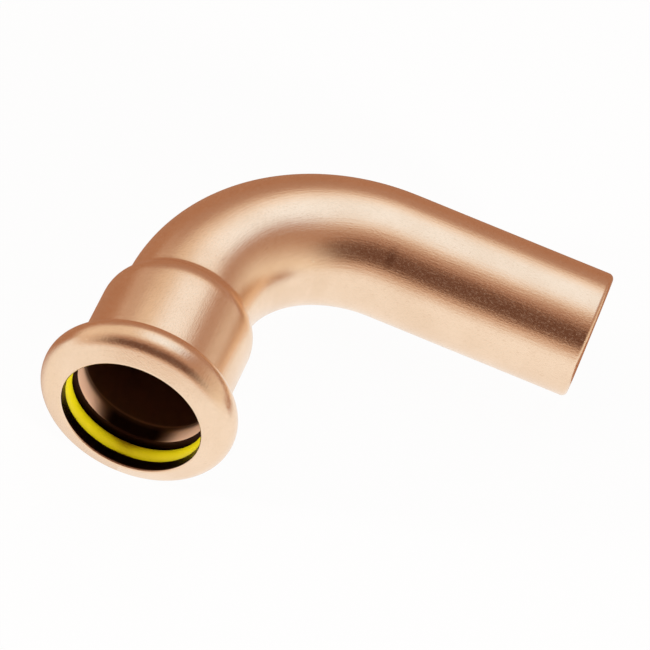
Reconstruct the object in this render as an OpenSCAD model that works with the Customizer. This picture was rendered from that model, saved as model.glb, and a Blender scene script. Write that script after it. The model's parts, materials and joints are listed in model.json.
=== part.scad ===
// Press-fit street elbow for 18 mm copper tube: a press socket with a rolled bead at one end,
// a quarter bend, and a plain spigot at the other. A sealing ring sits in the bead's groove.
// The elbow is drawn with its bend flat on XY, then laid on Z = 0 as it comes to rest:
// along the underside of the spigot and on the lowest point of the bead.

/* [Tube] */
// Outside diameter of the spigot and the bend
tube_od = 18; // [16:0.5:20]
// Wall of the spigot, the bend and the socket
wall = 1.5; // [1:0.1:1.8]
// Radius of the bend, at the tube's centre line
bend_r = 22.4; // [18:0.2:36]
// Straight length of the spigot
spigot_len = 29.3; // [22:0.1:60]
// Rounding of the spigot's outer edge at its end
end_round = 0.8; // [0.2:0.1:0.9]

/* [Socket] */
// Clearance all round between the socket's bore and the tube that goes in
socket_gap = 0.15; // [0.1:0.05:0.4]
// Length from the mouth to where the shoulder starts
socket_len = 17.45; // [14:0.05:30]
// Outer rounding of the shoulder
shoulder_round = 5; // [3:0.25:7]
// Fillet between the shoulder and the tube
shoulder_fillet = 1; // [0.4:0.1:2]
// Straight tube between the shoulder and the bend
neck_len = 0.55; // [0.2:0.05:6]

/* [Bead] */
// Height of the bead above the socket
bead_h = 2.95; // [2.8:0.05:3.2]
// Outer rounding of the bead, where the wall is rolled round the sealing ring
bead_round = 2.8; // [2.6:0.05:2.9]
// Distance of the crest behind the mouth
bead_set = 3.35; // [3.2:0.05:3.8]
// Slope of the bead's rear flank, outside and in its groove, from the socket's axis
bead_flank = 70; // [60:1:80]
// Fillet between the bead and the socket
bead_fillet = 0.8; // [0.4:0.1:1.4]
// Clearance all round between the lip of the mouth and the tube that goes in
lip_gap = 0.65; // [0.5:0.05:0.8]
// Rounding of both edges of the lip
lip_round = 0.4; // [0.3:0.05:0.5]
// Rounding where the ring's groove runs into the bore
groove_round = 0.3; // [0.2:0.05:0.6]

/* [Sealing ring] */
// Section diameter of the sealing ring
seal_section = 2.4; // [2.2:0.05:2.5]
// Clearance all round between the ring and the tube that goes in
seal_gap = 0.35; // [0.3:0.05:0.5]
// Distance of the ring's centre behind the mouth
seal_set = 3.15; // [3.05:0.05:3.4]
// Clearance all round between the ring and its groove
seat_gap = 0.05; // [0.02:0.01:0.1]

/* [Hidden] */
$fn = 96;
arc_step = 9;

// Radii of the tube and of the socket that takes the same tube
tube_r = tube_od / 2;
tube_bore_r = tube_r - wall;
socket_bore_r = tube_r + socket_gap;
socket_r = socket_bore_r + wall;

// Section points are [distance from the socket's axis, distance behind the mouth],
// and an angle turns from outwards, at 0, to away from the mouth, at 90
function toward(angle) = [cos(angle), sin(angle)];
function arc(centre, radius, from, to) =
    let (steps = ceil(abs(to - from) / arc_step))
    [for (i = [0 : steps]) centre + radius * toward(from + (to - from) * i / steps)];

// Shoulder: its convex rounding and the fillet to the tube touch at one angle
shoulder_at = [socket_r - shoulder_round, socket_len];
shoulder_drop = tube_r + shoulder_fillet - shoulder_at[0];
shoulder_rise = sqrt(pow(shoulder_round + shoulder_fillet, 2) - pow(shoulder_drop, 2));
shoulder_angle = atan2(shoulder_rise, shoulder_drop);
fillet_at = shoulder_at + [shoulder_drop, shoulder_rise];
bend_end = fillet_at[1] + neck_len;

// Bead: a round crest, a front face that runs down to the lip, and a rear flank with its fillet
bead_r = socket_r + bead_h;
crest_at = [bead_r - bead_round, bead_set];
lip_r = tube_r + lip_gap;
lip_at = [lip_r + lip_round, lip_round];
lip_to_crest = crest_at - lip_at;
front_angle = atan2(lip_to_crest[1], lip_to_crest[0])
    - acos((lip_round - bead_round) / norm(lip_to_crest));

// Sealing ring, and the groove that is rolled round it: the lip's rear edge keeps the ring in
seal_r = seal_section / 2;
seal_at = [tube_r + seal_gap + seal_r, seal_set];
groove_r = seal_r + seat_gap;
lip_edge = [lip_at[0], seal_set - sqrt(pow(groove_r + lip_round, 2) - pow(seal_at[0] - lip_at[0], 2))];
lip_angle = atan2(seal_set - lip_edge[1], seal_at[0] - lip_edge[0]);

// Centre of a rounding between a cylinder and a flank that touches the given circle
function flank_corner(cylinder_r, rounding, centre, radius) =
    let (r = cylinder_r + rounding)
    [r, centre[1] + (radius + rounding - (r - centre[0]) * cos(bead_flank)) / sin(bead_flank)];
bead_corner = flank_corner(socket_r, bead_fillet, crest_at, bead_round);
groove_corner = flank_corner(socket_bore_r, groove_round, seal_at, groove_r);

// Rest: the spigot's underside and the bead's lowest point share one floor
mouth_y = bend_r + bend_end;
crest_y = mouth_y - bead_set;
rest_tilt = atan2(crest_at[0], crest_y) + asin((bead_round - tube_r) / norm([crest_at[0], crest_y]));

// Reach of the placed elbow, so that the origin is under the middle of its box
function reach(section_point, rounding) =
    (mouth_y - section_point[1]) * cos(rest_tilt) + section_point[0] * sin(rest_tilt) + rounding;
mouth_reach = max(reach(lip_at, lip_round), reach(crest_at, bead_round));
middle_x = (spigot_len - bend_r - bead_r) / 2;
middle_y = (tube_r - mouth_reach) / 2;

module at_rest() {
    translate([-middle_x, -middle_y, tube_r])
        rotate([-rest_tilt, 0, 0])
            children();
}

// Stands a shape that is turned about Z, with its mouth at Z = 0, on the socket's axis
module on_socket_axis() {
    translate([-bend_r, -mouth_y, 0])
        rotate([-90, 0, 0])
            children();
}

module spigot() {
    rotate([0, 90, 0])
        rotate_extrude()
            polygon(concat(
                [[tube_bore_r, 0], [tube_r, 0]],
                arc([tube_r - end_round, spigot_len - end_round], end_round, 0, 90),
                [[tube_bore_r, spigot_len]]));
}

module bend() {
    translate([0, -bend_r, 0])
        rotate([0, 0, 90])
            rotate_extrude(angle = 90)
                translate([bend_r, 0])
                    difference() {
                        circle(tube_r);
                        circle(tube_bore_r);
                    }
}

// Shoulder, socket and bead are one wall, drawn down its outside and back up its inside
module socket() {
    on_socket_axis()
        rotate_extrude()
            polygon(concat(
                [[tube_r, bend_end]],
                arc(fillet_at, shoulder_fillet, 180, 180 + shoulder_angle),
                arc(shoulder_at, shoulder_round, shoulder_angle, 0),
                arc(bead_corner, bead_fillet, 180, 180 + bead_flank),
                arc(crest_at, bead_round, bead_flank, front_angle),
                arc(lip_at, lip_round, front_angle, -180),
                arc(lip_edge, lip_round, 180, lip_angle),
                arc(seal_at, groove_r, lip_angle - 180, bead_flank),
                arc(groove_corner, groove_round, 180 + bead_flank, 180),
                arc(shoulder_at, shoulder_round - wall, 0, shoulder_angle),
                arc(fillet_at, shoulder_fillet + wall, 180 + shoulder_angle, 180),
                [[tube_bore_r, bend_end]]));
}

module elbow_body() {
    color([0.79, 0.53, 0.38])
        at_rest() {
            spigot();
            bend();
            socket();
        }
}

module seal_ring() {
    color([0.87, 0.78, 0.04])
        at_rest()
            on_socket_axis()
                rotate_extrude()
                    translate(seal_at)
                        circle(seal_r);
}

elbow_body();
seal_ring();
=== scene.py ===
"""Looks of a press-fit street elbow: a satin copper body and its yellow sealing ring, on a pale floor."""

import json
import math

import bmesh
import bpy
from mathutils import Matrix, Vector


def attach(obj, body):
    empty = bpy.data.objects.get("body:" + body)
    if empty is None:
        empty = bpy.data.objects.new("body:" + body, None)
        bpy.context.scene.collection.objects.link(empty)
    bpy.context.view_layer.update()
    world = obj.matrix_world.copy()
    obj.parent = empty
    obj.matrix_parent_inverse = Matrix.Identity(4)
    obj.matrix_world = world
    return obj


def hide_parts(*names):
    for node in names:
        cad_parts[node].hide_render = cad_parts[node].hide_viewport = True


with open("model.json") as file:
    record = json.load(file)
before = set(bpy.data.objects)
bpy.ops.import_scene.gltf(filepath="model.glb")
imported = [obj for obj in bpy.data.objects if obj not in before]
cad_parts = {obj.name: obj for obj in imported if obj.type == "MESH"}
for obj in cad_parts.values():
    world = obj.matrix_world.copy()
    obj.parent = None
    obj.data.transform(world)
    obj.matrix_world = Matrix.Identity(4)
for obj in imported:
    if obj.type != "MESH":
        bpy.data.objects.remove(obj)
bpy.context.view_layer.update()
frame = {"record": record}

# Sizes of the elbow, in metres, as its solids have them
MM = 0.001
WALL = 1.5 * MM
SPIGOT_LENGTH = 29.3 * MM
END_ROUND = 0.8 * MM
SOCKET_LENGTH = 17.45 * MM
SHOULDER_ROUND = 5.0 * MM
SHOULDER_FILLET = 1.0 * MM
NECK_LENGTH = 0.55 * MM
BEAD_HEIGHT = 2.95 * MM
BEAD_ROUND = 2.8 * MM
BEAD_SET = 3.35 * MM
BEAD_FLANK = math.radians(70)
BEAD_FILLET = 0.8 * MM
LIP_GAP = 0.65 * MM
LIP_ROUND = 0.4 * MM
GROOVE_ROUND = 0.3 * MM
SEAL_RADIUS = 1.2 * MM
SEAL_GAP = 0.35 * MM
SEAL_SET = 3.15 * MM
SEAT_GAP = 0.05 * MM

# Fine detail that the solids leave out
INNER_EDGE_ROUND = 0.2 * MM
WAVINESS = 0.03 * MM
WAVE_LENGTH = 8.0 * MM

# Fineness of the meshes
ARC_STEP = math.radians(6)
STRAIGHT_STEP = 1.2 * MM
BEND_STEP = 0.6 * MM
BODY_STEPS_AROUND = 192
SEAL_STEPS_AROUND = 256
SAME_PLACE = 1e-9

# Place and main radii, from the two ends that the record states
ENDS = {mount["name"]: mount for mount in frame["record"]["mounts"]}
SPIGOT_AXIS = Vector(ENDS["spigot"]["axis"])
SOCKET_AXIS = Vector(ENDS["socket"]["axis"])
BEND_UP = SOCKET_AXIS.cross(SPIGOT_AXIS).normalized()
TUBE_RADIUS = ENDS["spigot"]["dims"]["r_mm"] * MM
SOCKET_BORE = ENDS["socket"]["dims"]["r_mm"] * MM
SPIGOT_START = Vector(ENDS["spigot"]["pos_m"]) - SPIGOT_AXIS * ENDS["spigot"]["dims"]["length_mm"] * MM / 2
BEND_RADIUS = (SPIGOT_START - Vector(ENDS["socket"]["pos_m"])).dot(SPIGOT_AXIS)
BEND_LENGTH = BEND_RADIUS * math.pi / 2
AXES_CROSSING = SPIGOT_START - SPIGOT_AXIS * BEND_RADIUS
BEND_TURN = Matrix((SPIGOT_AXIS, -SOCKET_AXIS, BEND_UP)).transposed()

# Section of the wall: points are (distance from the tube's centre line, distance behind the mouth),
# and an angle turns from outwards, at 0, to away from the mouth, at a quarter turn
HALF_TURN = math.pi
QUARTER_TURN = math.pi / 2
SOCKET_RADIUS = SOCKET_BORE + WALL
TUBE_BORE = TUBE_RADIUS - WALL
SHOULDER_AT = Vector((SOCKET_RADIUS - SHOULDER_ROUND, SOCKET_LENGTH))
SHOULDER_DROP = TUBE_RADIUS + SHOULDER_FILLET - SHOULDER_AT.x
SHOULDER_RISE = math.sqrt((SHOULDER_ROUND + SHOULDER_FILLET) ** 2 - SHOULDER_DROP ** 2)
SHOULDER_ANGLE = math.atan2(SHOULDER_RISE, SHOULDER_DROP)
FILLET_AT = SHOULDER_AT + Vector((SHOULDER_DROP, SHOULDER_RISE))
BEND_END = FILLET_AT.y + NECK_LENGTH
BEND_START = BEND_END + BEND_LENGTH
WHOLE_LENGTH = BEND_START + SPIGOT_LENGTH
CREST_AT = Vector((SOCKET_RADIUS + BEAD_HEIGHT - BEAD_ROUND, BEAD_SET))
LIP_AT = Vector((TUBE_RADIUS + LIP_GAP + LIP_ROUND, LIP_ROUND))
LIP_TO_CREST = CREST_AT - LIP_AT
FRONT_ANGLE = (math.atan2(LIP_TO_CREST.y, LIP_TO_CREST.x)
               - math.acos((LIP_ROUND - BEAD_ROUND) / LIP_TO_CREST.length))
SEAL_AT = Vector((TUBE_RADIUS + SEAL_GAP + SEAL_RADIUS, SEAL_SET))
GROOVE_RADIUS = SEAL_RADIUS + SEAT_GAP
LIP_EDGE = Vector((LIP_AT.x, SEAL_SET - math.sqrt(
    (GROOVE_RADIUS + LIP_ROUND) ** 2 - (SEAL_AT.x - LIP_AT.x) ** 2)))
LIP_ANGLE = math.atan2(SEAL_SET - LIP_EDGE.y, SEAL_AT.x - LIP_EDGE.x)

# Marks along the section, by which the finish tells its sides, and the angles where one follows another
OUTSIDE = 0.0
GROOVE = 1.0
BORE = 2.0
GROOVE_FROM = -0.8 * HALF_TURN
BORE_FROM = HALF_TURN + BEAD_FLANK / 2

# The photograph's camera, about the plane of the bend
AIM_ALONG_SPIGOT = 18.0 * MM
AIM_ALONG_SOCKET = 16.5 * MM
CAMERA_AZIMUTH = math.radians(4.346)
CAMERA_ELEVATION = math.radians(48.31)
CAMERA_ROLL = math.radians(-19.028)
CAMERA_DISTANCE = 0.562
CAMERA_LENS_MM = 230.8
CAMERA_SENSOR_MM = 36.0
CAMERA_NEAR = 0.01
CAMERA_FAR = 20.0


def photo_camera():
    """A long lens that looks down on the elbow, turned about its own axis as the photograph is."""
    toward_camera = BEND_TURN @ Vector((
        math.sin(CAMERA_AZIMUTH) * math.cos(CAMERA_ELEVATION),
        -math.cos(CAMERA_AZIMUTH) * math.cos(CAMERA_ELEVATION),
        math.sin(CAMERA_ELEVATION)))
    level = (-toward_camera).cross(BEND_UP).normalized()
    down = (-toward_camera).cross(level)
    right = math.cos(CAMERA_ROLL) * level + math.sin(CAMERA_ROLL) * down
    up = toward_camera.cross(right)
    aim = AXES_CROSSING + SPIGOT_AXIS * AIM_ALONG_SPIGOT + SOCKET_AXIS * AIM_ALONG_SOCKET
    camera = bpy.data.objects.new("photo_camera", bpy.data.cameras.new("photo_camera"))
    bpy.context.scene.collection.objects.link(camera)
    camera.data.lens = CAMERA_LENS_MM
    camera.data.sensor_width = CAMERA_SENSOR_MM
    camera.data.clip_start = CAMERA_NEAR
    camera.data.clip_end = CAMERA_FAR
    turn = Matrix((right, up, toward_camera)).transposed().to_4x4()
    camera.matrix_world = Matrix.Translation(aim + toward_camera * CAMERA_DISTANCE) @ turn
    bpy.context.scene.camera = camera


# Outlines of the two sections
def toward(angle):
    """Unit vector at an angle, from outwards to away from the mouth."""
    return Vector((math.cos(angle), math.sin(angle)))


def arc(centre, radius, start, end):
    """Points of an arc from one angle to another, both ends included."""
    steps = max(2, math.ceil(abs(end - start) / ARC_STEP))
    return [centre + radius * toward(start + (end - start) * i / steps) for i in range(steps + 1)]


def straight(start, end, step):
    """Points between two ends, which are left out."""
    steps = max(1, math.ceil((end - start).length / step))
    return [start.lerp(end, i / steps) for i in range(1, steps)]


def filled_in(points):
    """The outline with points added along its long straights, closer together along the bend and spigot."""
    dense = points[:1]
    for start, end in zip(points, points[1:]):
        along_tube = abs(start.x - end.x) < SAME_PLACE and min(start.y, end.y) >= BEND_END - SAME_PLACE
        dense.extend(straight(start, end, BEND_STEP if along_tube else STRAIGHT_STEP))
        dense.append(end)
    return dense


def flank_corner(cylinder, rounding, centre, radius):
    """Centre of a rounding between a cylinder and a flank that touches the given circle."""
    away = cylinder + rounding
    slack = radius + rounding - (away - centre.x) * math.cos(BEAD_FLANK)
    return Vector((away, centre.y + slack / math.sin(BEAD_FLANK)))


def wall_section():
    """Outline of the whole wall, each point with the mark of its side."""
    bead_corner = flank_corner(SOCKET_RADIUS, BEAD_FILLET, CREST_AT, BEAD_ROUND)
    groove_corner = flank_corner(SOCKET_BORE, GROOVE_ROUND, SEAL_AT, GROOVE_RADIUS)
    outer_edge = Vector((TUBE_RADIUS - END_ROUND, WHOLE_LENGTH - END_ROUND))
    inner_edge = Vector((TUBE_BORE + INNER_EDGE_ROUND, WHOLE_LENGTH - INNER_EDGE_ROUND))
    outside = [
        *arc(inner_edge, INNER_EDGE_ROUND, HALF_TURN, QUARTER_TURN),
        *arc(outer_edge, END_ROUND, QUARTER_TURN, 0),
        Vector((TUBE_RADIUS, BEND_START)),
        Vector((TUBE_RADIUS, BEND_END)),
        *arc(FILLET_AT, SHOULDER_FILLET, HALF_TURN, HALF_TURN + SHOULDER_ANGLE),
        *arc(SHOULDER_AT, SHOULDER_ROUND, SHOULDER_ANGLE, 0)[1:],
        *arc(bead_corner, BEAD_FILLET, HALF_TURN, HALF_TURN + BEAD_FLANK),
        *arc(CREST_AT, BEAD_ROUND, BEAD_FLANK, FRONT_ANGLE),
        *arc(LIP_AT, LIP_ROUND, FRONT_ANGLE, GROOVE_FROM),
    ]
    groove = [
        *arc(LIP_AT, LIP_ROUND, GROOVE_FROM, -HALF_TURN)[1:],
        *arc(LIP_EDGE, LIP_ROUND, HALF_TURN, LIP_ANGLE),
        *arc(SEAL_AT, GROOVE_RADIUS, LIP_ANGLE - HALF_TURN, BEAD_FLANK)[1:],
        *arc(groove_corner, GROOVE_ROUND, HALF_TURN + BEAD_FLANK, BORE_FROM),
    ]
    bore = [
        *arc(groove_corner, GROOVE_ROUND, BORE_FROM, HALF_TURN)[1:],
        *arc(SHOULDER_AT, SHOULDER_ROUND - WALL, 0, SHOULDER_ANGLE),
        *arc(FILLET_AT, SHOULDER_FILLET + WALL, HALF_TURN + SHOULDER_ANGLE, HALF_TURN)[1:],
        Vector((TUBE_BORE, BEND_END)),
        Vector((TUBE_BORE, BEND_START)),
        Vector((TUBE_BORE, WHOLE_LENGTH - 2 * INNER_EDGE_ROUND)),
    ]
    return [(*point, mark) for mark, side in ((OUTSIDE, outside), (GROOVE, groove), (BORE, bore))
            for point in filled_in(side)]


def seal_section():
    """Outline of the ring: a circle in the groove that is rolled round it."""
    return [(*point, OUTSIDE) for point in arc(SEAL_AT, SEAL_RADIUS, 0, math.tau)[:-1]]


# Node building. A mix node's colour sockets share their names with its others, so they go by number
MIX_FACTOR = 0
MIX_FIRST = 6
MIX_SECOND = 7
MIX_RESULT = 2


def add(tree, kind, inputs=(), **settings):
    """A node with its settings; each input is given a value or, where it is a socket, a link."""
    made = tree.nodes.new(kind)
    for name, value in settings.items():
        setattr(made, name, value)
    for name, value in dict(inputs).items():
        if isinstance(value, bpy.types.NodeSocket):
            tree.links.new(value, made.inputs[name])
        else:
            made.inputs[name].default_value = value
    return made


def maths(tree, operation, *values):
    """Output of a maths node."""
    return add(tree, "ShaderNodeMath", enumerate(values), operation=operation).outputs[0]


def dot(tree, vector, axis):
    """How far a vector goes along an axis."""
    return add(tree, "ShaderNodeVectorMath", {0: vector, 1: axis}, operation="DOT_PRODUCT").outputs["Value"]


def ramp(tree, value, low, high, bottom=0.0, top=1.0):
    """A value led smoothly from one range to another."""
    return add(tree, "ShaderNodeMapRange", {
        "Value": value, "From Min": low, "From Max": high, "To Min": bottom, "To Max": top},
        interpolation_type="SMOOTHSTEP").outputs[0]


def blend(tree, factor, first, second):
    """Two colours mixed."""
    return add(tree, "ShaderNodeMix", {
        MIX_FACTOR: factor, MIX_FIRST: first, MIX_SECOND: second}, data_type="RGBA").outputs[MIX_RESULT]


def sockets(tree, direction, *named):
    """Named sockets on a group's outside, each a (name, kind) pair."""
    for name, kind in named:
        tree.interface.new_socket(name=name, in_out=direction, socket_type="NodeSocket" + kind)


def captured(tree, geometry, kind, name, value):
    """Outputs of a node that keeps a value on the geometry, under a name."""
    made = tree.nodes.new("GeometryNodeCaptureAttribute")
    made.capture_items.new(kind, name)
    tree.links.new(geometry, made.inputs["Geometry"])
    tree.links.new(value, made.inputs[name])
    return made.outputs


def stored(tree, geometry, kind, name, value):
    """The geometry with a value on its points that the finishes can read."""
    return add(tree, "GeometryNodeStoreNamedAttribute", {
        "Geometry": geometry, "Name": name, "Value": value}, data_type=kind, domain="POINT").outputs[0]


def new_material(name):
    """A node material, its tree and its shader."""
    material = bpy.data.materials.new(name)
    material.use_nodes = True
    tree = material.node_tree
    return material, tree, tree.nodes["Principled BSDF"]


# The two pieces
def turned_and_bent_tree():
    """Turns a section about the tube's centre line, and leads that line round the bend."""
    tree = bpy.data.node_groups.new("Turned and bent", "GeometryNodeTree")
    tree.is_modifier = True
    sockets(tree, "INPUT", ("Section", "Geometry"), ("Steps Around", "Int"), ("Whole Length", "Float"),
            ("Spigot Length", "Float"), ("Bend Radius", "Float"), ("Waviness", "Float"),
            ("Wave Length", "Float"), ("Finish", "Material"))
    sockets(tree, "OUTPUT", ("Piece", "Geometry"))
    given = tree.nodes.new("NodeGroupInput").outputs

    # The section, swept round a ring
    outline = add(tree, "GeometryNodeMeshToCurve", {"Mesh": given["Section"]})
    place = add(tree, "GeometryNodeInputPosition").outputs[0]
    profile = captured(tree, outline.outputs[0], "VECTOR", "Place", place)
    ring = add(tree, "GeometryNodeCurvePrimitiveCircle", {
        "Resolution": given["Steps Around"], "Radius": 1.0})
    turns = add(tree, "GeometryNodeSplineParameter").outputs["Factor"]
    round_path = captured(tree, ring.outputs["Curve"], "FLOAT", "Turn", turns)
    swept = add(tree, "GeometryNodeCurveToMesh", {
        "Curve": round_path["Geometry"], "Profile Curve": profile["Geometry"]})

    # Each point's place on a straight tube, with X along it from the spigot's end, and its slight waviness
    split = add(tree, "ShaderNodeSeparateXYZ", {0: profile["Place"]}).outputs
    along = maths(tree, "SUBTRACT", given["Whole Length"], split[1])
    angle = maths(tree, "MULTIPLY", round_path["Turn"], math.tau)
    cosine = maths(tree, "COSINE", angle)
    sine = maths(tree, "SINE", angle)
    even = add(tree, "ShaderNodeCombineXYZ", {
        0: along, 1: maths(tree, "MULTIPLY", split[0], cosine), 2: maths(tree, "MULTIPLY", split[0], sine)})
    wave = add(tree, "ShaderNodeTexNoise", {
        "Vector": even.outputs[0], "Scale": maths(tree, "DIVIDE", 1.0, given["Wave Length"]), "Detail": 1.0})
    swell = maths(tree, "MULTIPLY", maths(tree, "SUBTRACT", wave.outputs[0], 0.5), given["Waviness"])
    radius = maths(tree, "ADD", split[0], swell)
    outwards = maths(tree, "MULTIPLY", radius, cosine)
    upwards = maths(tree, "MULTIPLY", radius, sine)

    # The same place on the bent tube, with the origin where the spigot meets the bend
    bend_length = maths(tree, "MULTIPLY", given["Bend Radius"], QUARTER_TURN)
    past_spigot = maths(tree, "SUBTRACT", along, given["Spigot Length"])
    before = maths(tree, "MAXIMUM", maths(tree, "MULTIPLY", past_spigot, -1.0), 0.0)
    after = maths(tree, "MAXIMUM", maths(tree, "SUBTRACT", past_spigot, bend_length), 0.0)
    bent = maths(tree, "MAXIMUM", maths(tree, "MINIMUM", past_spigot, bend_length), 0.0)
    bend_angle = maths(tree, "DIVIDE", bent, given["Bend Radius"])
    reach = maths(tree, "ADD", given["Bend Radius"], outwards)
    x = maths(tree, "SUBTRACT", before, maths(tree, "MULTIPLY", reach, maths(tree, "SINE", bend_angle)))
    y = maths(tree, "SUBTRACT", maths(tree, "MULTIPLY", reach, maths(tree, "COSINE", bend_angle)),
              maths(tree, "ADD", given["Bend Radius"], after))
    placed = add(tree, "GeometryNodeSetPosition", {
        "Geometry": swept.outputs[0],
        "Position": add(tree, "ShaderNodeCombineXYZ", {0: x, 1: y, 2: upwards}).outputs[0]})

    kept = stored(tree, placed.outputs[0], "FLOAT_VECTOR", "straight_place", even.outputs[0])
    marked = stored(tree, kept, "FLOAT", "side", split[2])
    smooth = add(tree, "GeometryNodeSetShadeSmooth", {"Geometry": marked})
    real = add(tree, "GeometryNodeRealizeInstances", {"Geometry": smooth.outputs[0]})
    finished = add(tree, "GeometryNodeSetMaterial", {
        "Geometry": real.outputs[0], "Material": given["Finish"]})
    add(tree, "NodeGroupOutput", {"Piece": finished.outputs[0]})
    return tree


def turned_and_bent(name, section, tree, **sizes):
    """A plain mesh of a section that has been through the tree, laid where the elbow rests."""
    count = len(section)
    outline = bpy.data.meshes.new(name + "_section")
    outline.from_pydata(section, [(i, (i + 1) % count) for i in range(count)], [])
    drawn = bpy.data.objects.new(name + "_section", outline)
    bpy.context.scene.collection.objects.link(drawn)
    modifier = drawn.modifiers.new("turned_and_bent", "NODES")
    modifier.node_group = tree
    for socket in tree.interface.items_tree:
        if socket.in_out == "INPUT" and socket.name in sizes:
            modifier[socket.identifier] = sizes[socket.name]
    graph = bpy.context.evaluated_depsgraph_get()
    mesh = bpy.data.meshes.new_from_object(drawn.evaluated_get(graph), depsgraph=graph)
    drawn.modifiers.remove(modifier)
    bpy.data.objects.remove(drawn)
    bpy.data.meshes.remove(outline)
    mesh.name = name
    mesh.transform(Matrix.Translation(SPIGOT_START) @ BEND_TURN.to_4x4())
    shape = bmesh.new()
    shape.from_mesh(mesh)
    if shape.calc_volume(signed=True) < 0:
        bmesh.ops.reverse_faces(shape, faces=shape.faces)
        shape.to_mesh(mesh)
    shape.free()
    piece = bpy.data.objects.new(name, mesh)
    bpy.context.scene.collection.objects.link(piece)
    return piece


# Grain of both finishes: noise values are about 0.5, and X runs along the tube
SPECKLE_STRETCH = (0.55, 1.0, 1.0)
LINE_STRETCH = (0.04, 1.0, 1.0)
SCUFFS_TO_A_MOTTLE = 5.0
LINE_WIDTH = 0.3 * MM
MOTTLE_RANGE = (0.3, 0.7)

# Copper outside: patches, dark pits, matt specks, scuffs, and a darker patch where the bend meets the spigot
COPPER_COLOUR = (0.89, 0.665, 0.475, 1)
COPPER_PALE_COLOUR = (0.93, 0.71, 0.52, 1)
COPPER_SPECKLE = 0.20 * MM
COPPER_MOTTLE = 7.0 * MM
COPPER_ROUGHNESS = (0.24, 0.20)
COPPER_BUMP = 0.45
COPPER_BUMP_HEIGHT = 0.06 * MM
SPECKLE_SHARE = 0.7
LINES_SHARE = 0.4
PIT_COLOUR = (0.62, 0.38, 0.24, 1)
PIT_RANGE = (0.30, 0.48)
PIT_STRENGTH = 0.3
SPECK_RANGE = (0.48, 0.68)
SPECK_MATTNESS = 0.10
SCUFF_COLOUR = (0.58, 0.37, 0.25, 1)
SCUFF_RANGE = (0.69, 0.77)
SCUFF_STRENGTH = 0.35
DARK_PATCH_COLOUR = (0.50, 0.32, 0.21, 1)
DARK_PATCH_AT = Vector((29.0, -6.4, 6.4)) * MM
DARK_PATCH_SIZE = Vector((1.2, 2.4, 2.4)) * MM
DARK_PATCH_RANGE = (0.2, 1.0)
DARK_PATCH_STRENGTH = 0.55

# Copper inside: painted shade makes it near black in the groove and by the mouth, and darker deeper in;
# painted light makes it pale and matt at the sides by the mouth, and a painted highlight runs along a thin
# line behind them
GROOVE_SHADE_COLOUR = (0.035, 0.014, 0.009, 1)
BORE_SHADE_COLOUR = (0.38, 0.22, 0.14, 1)
MOUTH_SHADE_COLOUR = (0.07, 0.034, 0.022, 1)
PAINTED_LIGHT_COLOUR = (0.99, 0.63, 0.44, 1)
PAINTED_LIGHT_MATTNESS = 0.9
MOUTH_LIGHT_AND_SHADE_DEPTH = (6.7 * MM, 8.1 * MM)
PAINTED_LIGHT_TO_THE_SIDES = (2.8 * MM, 6.6 * MM)
HIGHLIGHT_LINE_START = 7.5 * MM
HIGHLIGHT_LINE_MIDDLE = 7.8 * MM
HIGHLIGHT_LINE_END = 8.1 * MM
HIGHLIGHT_LINE_STRENGTH = 0.35
BORE_MARKS = (1.2, BORE)
BORE_ROUGHENING = 0.2

# Rubber of the ring
SEAL_COLOUR = (0.82, 0.71, 0.004, 1)
SEAL_PALE_COLOUR = (0.88, 0.77, 0.008, 1)
SEAL_SPECKLE = 0.25 * MM
SEAL_MOTTLE = 4.0 * MM
SEAL_ROUGHNESS = (0.5, 0.4)
SEAL_BUMP = 0.06
SEAL_BUMP_HEIGHT = 0.05 * MM


def grain_group():
    """Speckle, mottling, drawn lines and scuffs, on places measured in metres with X along the tube."""
    group = bpy.data.node_groups.new("Surface grain", "ShaderNodeTree")
    sockets(group, "INPUT", ("Place", "Vector"), ("Speckle Size", "Float"), ("Mottle Size", "Float"),
            ("Line Width", "Float"))
    sockets(group, "OUTPUT", ("Speckle", "Float"), ("Mottle", "Float"), ("Lines", "Float"),
            ("Scuffs", "Float"))
    given = group.nodes.new("NodeGroupInput").outputs
    lengthened = add(group, "ShaderNodeMapping", {
        "Vector": given["Place"], "Scale": SPECKLE_STRETCH}).outputs[0]
    drawn_out = add(group, "ShaderNodeMapping", {
        "Vector": given["Place"], "Scale": LINE_STRETCH}).outputs[0]

    def noise(place, count, size, detail, roughness):
        """Noise with a count of grains to a size."""
        return add(group, "ShaderNodeTexNoise", {
            "Vector": place, "Scale": maths(group, "DIVIDE", count, size),
            "Detail": detail, "Roughness": roughness}).outputs[0]

    add(group, "NodeGroupOutput", {
        "Speckle": noise(lengthened, 1.0, given["Speckle Size"], detail=3.0, roughness=0.65),
        "Mottle": noise(given["Place"], 1.0, given["Mottle Size"], detail=4.0, roughness=0.55),
        "Lines": noise(drawn_out, 1.0, given["Line Width"], detail=2.0, roughness=0.5),
        "Scuffs": noise(lengthened, SCUFFS_TO_A_MOTTLE, given["Mottle Size"], detail=3.0, roughness=0.7)})
    return group


def grained(tree, grain, speckle, mottle):
    """A surface's places on the straight tube, and the grain there."""
    place = add(tree, "ShaderNodeAttribute", attribute_name="straight_place").outputs["Vector"]
    surface = add(tree, "ShaderNodeGroup", node_tree=grain)
    for name, value in (("Speckle Size", speckle), ("Mottle Size", mottle), ("Line Width", LINE_WIDTH)):
        surface.inputs[name].default_value = value
    tree.links.new(place, surface.inputs["Place"])
    return place, surface.outputs


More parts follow.
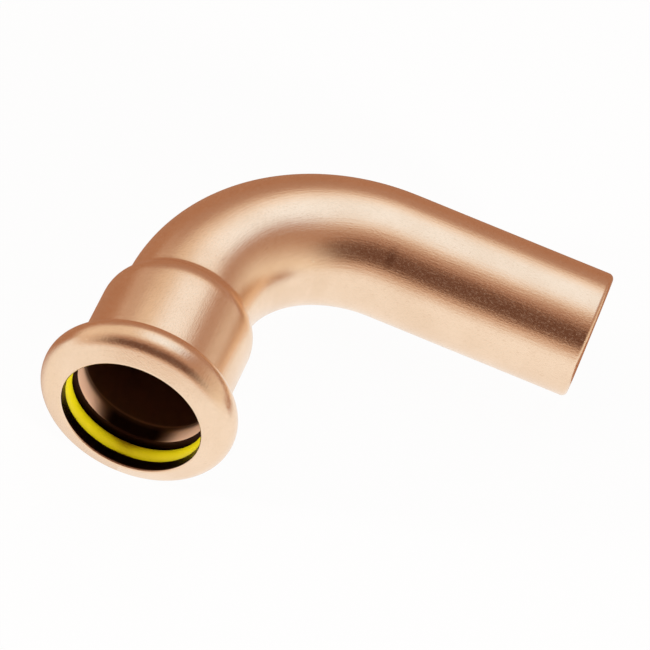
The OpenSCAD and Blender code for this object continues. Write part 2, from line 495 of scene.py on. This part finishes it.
def outside_colour(tree, place, grain):
    """Copper in soft patches, with its pits and scuffs and the darker patch where the bend meets the spigot.
    """
    patched = blend(tree, ramp(tree, grain["Mottle"], *MOTTLE_RANGE), COPPER_COLOUR, COPPER_PALE_COLOUR)
    pits = ramp(tree, grain["Speckle"], *PIT_RANGE, PIT_STRENGTH, 0.0)
    scuffs = ramp(tree, grain["Scuffs"], *SCUFF_RANGE, 0.0, SCUFF_STRENGTH)
    scuffed = blend(tree, scuffs, blend(tree, pits, patched, PIT_COLOUR), SCUFF_COLOUR)
    # A darker patch where the bend meets the spigot
    from_dark_patch = add(tree, "ShaderNodeVectorMath", {0: place, 1: DARK_PATCH_AT}, operation="SUBTRACT")
    spread = add(tree, "ShaderNodeVectorMath", {
        0: from_dark_patch.outputs[0], 1: DARK_PATCH_SIZE}, operation="DIVIDE")
    away = add(tree, "ShaderNodeVectorMath", {0: spread.outputs[0]}, operation="LENGTH").outputs["Value"]
    dark_patch = ramp(tree, away, *DARK_PATCH_RANGE, DARK_PATCH_STRENGTH, 0.0)
    return blend(tree, dark_patch, scuffed, DARK_PATCH_COLOUR)


def bore_masks(tree, place):
    """How near the mouth a place in the bore is, and how much painted light it takes at the sides and as a
    painted highlight line.
    """
    along, across, _ = add(tree, "ShaderNodeSeparateXYZ", {0: place}).outputs
    behind = maths(tree, "SUBTRACT", WHOLE_LENGTH, along)
    by_the_mouth = ramp(tree, behind, *MOUTH_LIGHT_AND_SHADE_DEPTH, 1.0, 0.0)
    at_the_sides = ramp(tree, maths(tree, "ABSOLUTE", across), *PAINTED_LIGHT_TO_THE_SIDES)
    # Painted highlight: a thin pale line all round the bore, behind the mouth
    highlight_line = maths(
        tree, "MULTIPLY",
        ramp(tree, behind, HIGHLIGHT_LINE_START, HIGHLIGHT_LINE_MIDDLE, 0.0, HIGHLIGHT_LINE_STRENGTH),
        ramp(tree, behind, HIGHLIGHT_LINE_MIDDLE, HIGHLIGHT_LINE_END, 1.0, 0.0))
    # Painted light: the bore's sides by the mouth are painted pale
    painted_light = maths(tree, "MAXIMUM", maths(tree, "MULTIPLY", by_the_mouth, at_the_sides), highlight_line)
    return by_the_mouth, painted_light


def satin_copper(grain):
    """Pickled copper: satin and grained outside, duller in the bore, with painted shade in the ring's groove
    and the bore and painted light at its sides.
    """
    material, tree, shader = new_material("satin_copper")
    place, surface = grained(tree, grain, COPPER_SPECKLE, COPPER_MOTTLE)
    side = add(tree, "ShaderNodeAttribute", attribute_name="side").outputs["Fac"]
    in_the_groove = ramp(tree, side, OUTSIDE, GROOVE)
    in_the_bore = ramp(tree, side, *BORE_MARKS)
    by_the_mouth, painted_light = bore_masks(tree, place)

    # Painted shade: the lip's inside and the groove round the ring are painted near black
    groove_shaded = blend(tree, in_the_groove, outside_colour(tree, place, surface), GROOVE_SHADE_COLOUR)
    # Painted shade in the bore: near black by the mouth, and darker copper deeper in
    painted_shade = blend(tree, by_the_mouth, BORE_SHADE_COLOUR, MOUTH_SHADE_COLOUR)
    # Painted light: pale, matt patches at the bore's sides by the mouth, and a painted highlight line behind
    # them
    bore_colour = blend(tree, painted_light, painted_shade, PAINTED_LIGHT_COLOUR)
    tree.links.new(blend(tree, in_the_bore, groove_shaded, bore_colour), shader.inputs["Base Color"])

    specks = ramp(tree, surface["Speckle"], *SPECK_RANGE, 0.0, SPECK_MATTNESS)
    matt_bore = maths(tree, "MULTIPLY", maths(tree, "MULTIPLY", in_the_bore, painted_light), PAINTED_LIGHT_MATTNESS)
    matt = maths(tree, "MAXIMUM", specks, matt_bore)
    tree.links.new(maths(tree, "SUBTRACT", 1.0, matt), shader.inputs["Metallic"])

    dullness = maths(tree, "ADD", ramp(tree, surface["Mottle"], *MOTTLE_RANGE, *COPPER_ROUGHNESS),
                     ramp(tree, side, OUTSIDE, BORE, 0.0, BORE_ROUGHENING))
    tree.links.new(dullness, shader.inputs["Roughness"])

    height = maths(tree, "ADD", maths(tree, "MULTIPLY", surface["Speckle"], SPECKLE_SHARE),
                   maths(tree, "MULTIPLY", surface["Lines"], LINES_SHARE))
    bump = add(tree, "ShaderNodeBump", {
        "Strength": COPPER_BUMP, "Distance": COPPER_BUMP_HEIGHT, "Height": height})
    tree.links.new(bump.outputs[0], shader.inputs["Normal"])
    return material


def seal_rubber(grain):
    """Smooth yellow rubber with a slight bloom."""
    material, tree, shader = new_material("yellow_seal_rubber")
    _, surface = grained(tree, grain, SEAL_SPECKLE, SEAL_MOTTLE)
    tone = blend(tree, ramp(tree, surface["Mottle"], *MOTTLE_RANGE), SEAL_COLOUR, SEAL_PALE_COLOUR)
    tree.links.new(tone, shader.inputs["Base Color"])
    dullness = ramp(tree, surface["Mottle"], *MOTTLE_RANGE, *SEAL_ROUGHNESS)
    tree.links.new(dullness, shader.inputs["Roughness"])
    bump = add(tree, "ShaderNodeBump", {
        "Strength": SEAL_BUMP, "Distance": SEAL_BUMP_HEIGHT, "Height": surface["Speckle"]})
    tree.links.new(bump.outputs[0], shader.inputs["Normal"])
    return material


# Light of the studio: colours are what a mirror would show, where 1 is white. Angles are in degrees, over
# the elbow from the horizon before the mouth, at 0, by the zenith, at 90, to the horizon behind the bend,
# at 180. The ranges to the left, the right and upwards are shares of a direction.
LOWEST_ANGLE = -90.0
HIGHEST_ANGLE = 270.0
BACK_COLOUR = (0.45, 0.25, 0.17, 1)
OVERHEAD_COLOUR = (1.02, 1.14, 1.28, 1)
OVERHEAD_EDGE_COLOUR = (0.97, 0.80, 0.64, 1)
OVERHEAD_WHITENING = (76, 100)
OVERHEAD_YELLOWING = (122, 148)
OVERHEAD_RISE = (64, 91)
OVERHEAD_FALL = (138, 156)
OVERHEAD_LEFT_COLOUR = (0.84, 0.69, 0.55, 1)
OVERHEAD_LEFT_RANGE = (0.08, 0.48)
OVERHEAD_RIGHT_RANGE = (0.20, 0.58)
DARK_COLOUR = (0.145, 0.066, 0.042, 1)
DARK_RISE = (13, 24)
DARK_FALL = (50, 64)
FRONT_COLOUR = (0.68, 0.45, 0.32, 1)
FRONT_RANGE = (10, 24)
TABLE_COLOUR = (0.97, 0.94, 0.90, 1)
TABLE_RANGE = (-10, 14)
LEFT_COLOUR = (0.78, 0.60, 0.47, 1)
LEFT_RANGE = (0.55, 0.95)
RIGHT_LOW_COLOUR = (0.92, 0.81, 0.68, 1)
RIGHT_HIGH_COLOUR = (0.50, 0.30, 0.20, 1)
RIGHT_RISE = (0.05, 0.80)
RIGHT_RANGE = (0.48, 0.92)

# Floor, and the brown card behind the elbow that only the metal sees
FLOOR_COLOUR = (0.92, 0.91, 0.90, 1)
FLOOR_ROUGHNESS = 0.9
FLOOR_WHITENESS = 0.95
FLOOR_SIZE = 8.0
CARD_COLOUR = (0.44, 0.215, 0.125, 1)
CARD_TO_THE_RIGHT = 0.5
CARD_ALONG_SOCKET = 40.0 * MM
CARD_FADE = (8.0 * MM, 32.0 * MM)
CARD_REACH = 3.9
CARD_HEIGHT = 0.2 * MM
CARD_BEND_STEPS = 12

# Lamps, one to each side of the mouth: the way to a lamp goes so far across, up and forward
LAMP_DISTANCE = 0.55
LAMP_SIZE = 0.08
LAMP_ACROSS = 0.895
LAMP_UP = 0.24
LAMP_FORWARD = 0.375
RIGHT_LAMP_BRIGHTNESS = 100.0
LEFT_LAMP_BRIGHTNESS = 85.0


def sheet(name, corners, material):
    """A flat sheet with the given corners."""
    mesh = bpy.data.meshes.new(name)
    mesh.from_pydata(corners, [], [tuple(range(len(corners)))])
    mesh.materials.append(material)
    made = bpy.data.objects.new(name, mesh)
    bpy.context.scene.collection.objects.link(made)
    return made


def pale_floor():
    """A white surface that keeps the shadow, and that the metal sees as the camera does."""
    material, tree, shader = new_material("pale_floor")
    shader.inputs["Base Color"].default_value = FLOOR_COLOUR
    shader.inputs["Roughness"].default_value = FLOOR_ROUGHNESS
    shader.inputs["Specular IOR Level"].default_value = 0.0
    rays = add(tree, "ShaderNodeLightPath").outputs
    seen = maths(tree, "MAXIMUM", rays["Is Camera Ray"], rays["Is Glossy Ray"])
    seen = maths(tree, "MAXIMUM", seen, rays["Is Transmission Ray"])
    white = add(tree, "ShaderNodeEmission", {"Color": (1, 1, 1, 1), "Strength": 1.0})
    mixed = add(tree, "ShaderNodeMixShader", {
        0: maths(tree, "MULTIPLY", seen, FLOOR_WHITENESS), 1: shader.outputs[0], 2: white.outputs[0]})
    tree.links.new(mixed.outputs[0], tree.nodes["Material Output"].inputs["Surface"])
    half = FLOOR_SIZE / 2
    corners = [(-half, -half, 0), (half, -half, 0), (half, half, 0), (-half, half, 0)]
    floor = sheet("floor", corners, material)


def brown_card():
    """A brown sheet on the floor behind the elbow, from its centre line, that only the metal sees."""
    material, tree, shader = new_material("brown_card")
    tree.nodes.remove(shader)
    place = add(tree, "ShaderNodeTexCoord").outputs["Object"]
    along_socket = dot(tree, place, SOCKET_AXIS)
    colour = blend(tree, ramp(tree, along_socket, *CARD_FADE), CARD_COLOUR, TABLE_COLOUR)
    glow = add(tree, "ShaderNodeEmission", {"Color": colour, "Strength": 1.0})
    tree.links.new(glow.outputs[0], tree.nodes["Material Output"].inputs["Surface"])

    bend_centre = AXES_CROSSING + SPIGOT_AXIS * BEND_RADIUS + SOCKET_AXIS * BEND_RADIUS
    angles = [i * QUARTER_TURN / CARD_BEND_STEPS for i in range(CARD_BEND_STEPS + 1)]
    rim = [bend_centre - BEND_RADIUS * (math.sin(angle) * SPIGOT_AXIS + math.cos(angle) * SOCKET_AXIS)
           for angle in angles]
    rim.insert(0, SPIGOT_START + SPIGOT_AXIS * SPIGOT_LENGTH)
    rim.insert(0, rim[0] + (SPIGOT_AXIS + SOCKET_AXIS) * CARD_TO_THE_RIGHT)
    rim.append(rim[-1] + SOCKET_AXIS * CARD_ALONG_SOCKET)
    rim.append(rim[-1] - SPIGOT_AXIS * CARD_REACH)
    rim.append(rim[-1] - SOCKET_AXIS * CARD_REACH)
    rim.append(rim[0] - SOCKET_AXIS * CARD_REACH)
    card = sheet("brown_card", [(point.x, point.y, CARD_HEIGHT) for point in rim], material)
    card.visible_camera = False
    card.visible_diffuse = False
    card.visible_shadow = False


def studio():
    """A sky in bands: pale before the elbow, dark by the camera, white overhead and brown behind."""
    world = bpy.data.worlds.new("studio")
    bpy.context.scene.world = world
    world.use_nodes = True
    tree = world.node_tree
    direction = add(tree, "ShaderNodeTexCoord").outputs["Generated"]
    up, front, right = (dot(tree, direction, axis) for axis in (BEND_UP, SOCKET_AXIS, SPIGOT_AXIS))
    left = maths(tree, "MULTIPLY", right, -1.0)
    turn = maths(tree, "MULTIPLY", maths(tree, "ARCTAN2", up, front), math.degrees(1))
    turn = maths(tree, "WRAP", turn, HIGHEST_ANGLE, LOWEST_ANGLE)

    def band(rise, fall):
        """How far a direction is inside a band of angles."""
        return maths(tree, "MULTIPLY", ramp(tree, turn, *rise), ramp(tree, turn, *fall, 1.0, 0.0))

    low_front = blend(tree, ramp(tree, turn, *TABLE_RANGE, 1.0, 0.0), FRONT_COLOUR, TABLE_COLOUR)
    colour = blend(tree, ramp(tree, turn, *FRONT_RANGE, 1.0, 0.0), BACK_COLOUR, low_front)
    colour = blend(tree, band(DARK_RISE, DARK_FALL), colour, DARK_COLOUR)
    right_colour = blend(tree, ramp(tree, up, *RIGHT_RISE), RIGHT_LOW_COLOUR, RIGHT_HIGH_COLOUR)
    colour = blend(tree, ramp(tree, right, *RIGHT_RANGE), colour, right_colour)
    colour = blend(tree, ramp(tree, left, *LEFT_RANGE), colour, LEFT_COLOUR)
    ceiling = blend(tree, band(OVERHEAD_WHITENING, OVERHEAD_YELLOWING),
                    OVERHEAD_EDGE_COLOUR, OVERHEAD_COLOUR)
    ceiling = blend(tree, ramp(tree, left, *OVERHEAD_LEFT_RANGE), ceiling, OVERHEAD_LEFT_COLOUR)
    overhead = maths(tree, "MULTIPLY", band(OVERHEAD_RISE, OVERHEAD_FALL),
                     ramp(tree, right, *OVERHEAD_RIGHT_RANGE, 1.0, 0.0))
    colour = blend(tree, overhead, colour, ceiling)
    tree.links.new(colour, tree.nodes["Background"].inputs["Color"])


def unseen_lamp(name, across, brightness):
    """A soft lamp that lights the ring and the dull bore by the mouth, and that the metal doesn't mirror."""
    bore = ENDS["socket"]
    mouth = Vector(bore["pos_m"]) + SOCKET_AXIS * bore["dims"]["length_mm"] * MM / 2
    toward_lamp = LAMP_ACROSS * across + LAMP_UP * BEND_UP + LAMP_FORWARD * SOCKET_AXIS
    lamp = bpy.data.lights.new(name, "AREA")
    lamp.shape = "SQUARE"
    lamp.size = LAMP_SIZE
    lamp.energy = brightness * math.pi * LAMP_SIZE * LAMP_SIZE
    light = bpy.data.objects.new(name, lamp)
    bpy.context.scene.collection.objects.link(light)
    light.location = mouth + LAMP_DISTANCE * toward_lamp.normalized()
    light.rotation_mode = "QUATERNION"
    light.rotation_quaternion = (-toward_lamp).to_track_quat("-Z", "Y")
    light.visible_glossy = False


photo_camera()
bpy.context.scene.view_settings.view_transform = "Standard"
grain = grain_group()
tree = turned_and_bent_tree()
shared_sizes = {
    "Whole Length": WHOLE_LENGTH, "Spigot Length": SPIGOT_LENGTH, "Bend Radius": BEND_RADIUS,
    "Wave Length": WAVE_LENGTH,
}
body = turned_and_bent("copper_elbow", wall_section(), tree, **shared_sizes, **{
    "Steps Around": BODY_STEPS_AROUND, "Waviness": WAVINESS, "Finish": satin_copper(grain)})
seal = turned_and_bent("yellow_seal", seal_section(), tree, **shared_sizes, **{
    "Steps Around": SEAL_STEPS_AROUND, "Waviness": 0.0, "Finish": seal_rubber(grain)})
for piece, node, slot in ((body, "elbow_body", "copper"), (seal, "seal_ring", "seal_rubber")):
    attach(piece, "root")
    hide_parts(node)

pale_floor()
brown_card()
studio()
unseen_lamp("right_lamp", SPIGOT_AXIS, RIGHT_LAMP_BRIGHTNESS)
unseen_lamp("left_lamp", -SPIGOT_AXIS, LEFT_LAMP_BRIGHTNESS)
